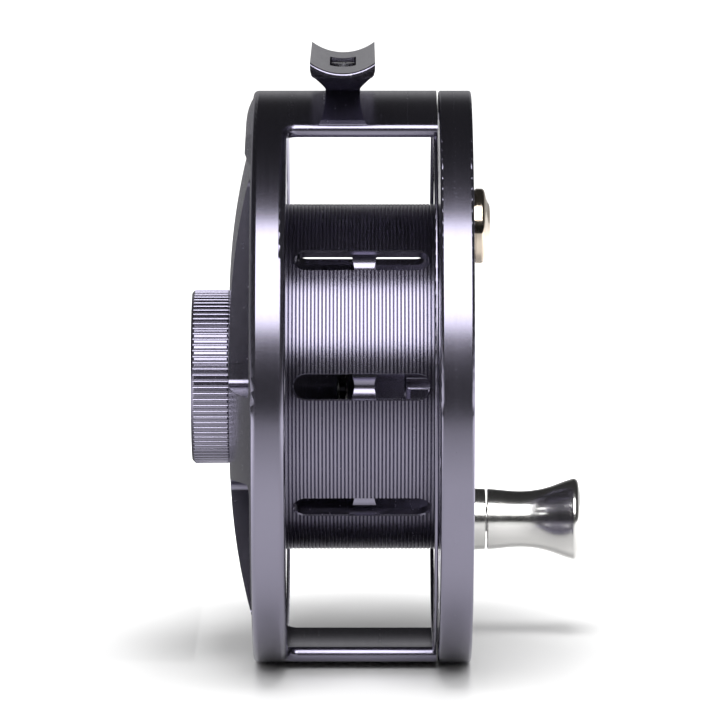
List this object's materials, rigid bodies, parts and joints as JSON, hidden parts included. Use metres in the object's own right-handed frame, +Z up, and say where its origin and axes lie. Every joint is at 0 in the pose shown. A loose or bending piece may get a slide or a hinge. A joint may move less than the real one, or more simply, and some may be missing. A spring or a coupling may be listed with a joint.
{
  "type": "fly reel",
  "caption": "Large-arbor fly reel: open full-cage frame, grooved ported spool with palming rim, fluted drag knob, counterweight and waisted crank handle.",
  "frame": {"origin": "lowest point of the reel foot's saddle, at mid length", "axes": "+X along the spool's axis towards the handle, +Y along the rod, +Z up out of the saddle"},
  "size_m": [0.0788, 0.1142, 0.1221],
  "materials": {
    "gunmetal": "satin anodised, dark grey with a violet tint",
    "dark_anodise": "satin anodised black",
    "polished_aluminium": "polished, fine turning marks",
    "nickel": "polished nickel",
    "stainless": "fine ground",
    "spring_steel": "oiled",
    "bronze": "turned",
    "carbon": "woven carbon friction face",
    "seal_rubber": "matte"
  },
  "bodies": {
    "frame": {"frame": "gunmetal", "reel_foot": "gunmetal", "foot_screws": "stainless", "spindle": "stainless", "knob_screw": "stainless", "knob_click_ball": "stainless", "knob_click_spring": "spring_steel", "drag_springs": "spring_steel", "pressure_plate": "stainless", "steel_discs": "stainless", "drag_cover": "dark_anodise", "cover_seal": "seal_rubber", "pawl_pin": "stainless", "click_spring": "spring_steel"},
    "drag_knob": {"drag_knob": "gunmetal", "drag_cam": "bronze"},
    "push_plate": {"push_plate": "stainless", "thrust_ring": "stainless"},
    "click_pawl": {"click_pawl": "bronze"},
    "drive_hub": {"drive_hub": "stainless", "drive_pins": "stainless", "click_wheel": "dark_anodise", "carbon_discs": "carbon", "clutch_sleeve": "stainless", "one_way_clutch": "stainless", "clutch_rollers": "stainless"},
    "spool": {"spool": "gunmetal", "spool_bearings": "stainless", "counterweight": "nickel", "counterweight_screw": "stainless", "handle_post": "stainless", "handle_collar": "polished_aluminium", "handle_screw": "polished_aluminium"},
    "handle_grip": {"handle_grip": "polished_aluminium", "handle_bushings": "bronze"},
    "spool_cap": {"spool_cap": "gunmetal"}
  },
  "joints": [
    {"name": "spool_spin", "type": "hinge", "parent": "frame", "child": "drive_hub", "pos_m": [0.0034, 0, -0.0629], "axis": [1, 0, 0], "continuous": true},
    {"name": "spool_pull_off", "type": "slide", "parent": "drive_hub", "child": "spool", "axis": [1, 0, 0], "range_m": [0, 0.04]},
    {"name": "handle_spin", "type": "hinge", "parent": "spool", "child": "handle_grip", "pos_m": [0.0384, 0.03058, -0.09592], "axis": [1, 0, 0], "continuous": true},
    {"name": "spool_cap_turn", "type": "hinge", "parent": "spool", "child": "spool_cap", "pos_m": [0.0154, 0, -0.0629], "axis": [1, 0, 0], "range_deg": [0, 90]},
    {"name": "drag_knob_turn", "type": "hinge", "parent": "frame", "child": "drag_knob", "pos_m": [-0.0266, 0, -0.0629], "axis": [1, 0, 0], "range_deg": [0, 330]},
    {"name": "drag_push", "type": "slide", "parent": "frame", "child": "push_plate", "axis": [1, 0, 0], "range_m": [0, 0.0014], "deforming": ["drag_springs"]},
    {"name": "click_pawl_rock", "type": "hinge", "parent": "frame", "child": "click_pawl", "pos_m": [-0.0002, 0, -0.04415], "axis": [1, 0, 0], "range_deg": [-5, 5], "stiffness_Nm_per_rad": 0.002}
  ],
  "couplings": [
    {"joint": "drag_push", "follows": "drag_knob_turn", "m_per_rad": 0.000243}
  ]
}
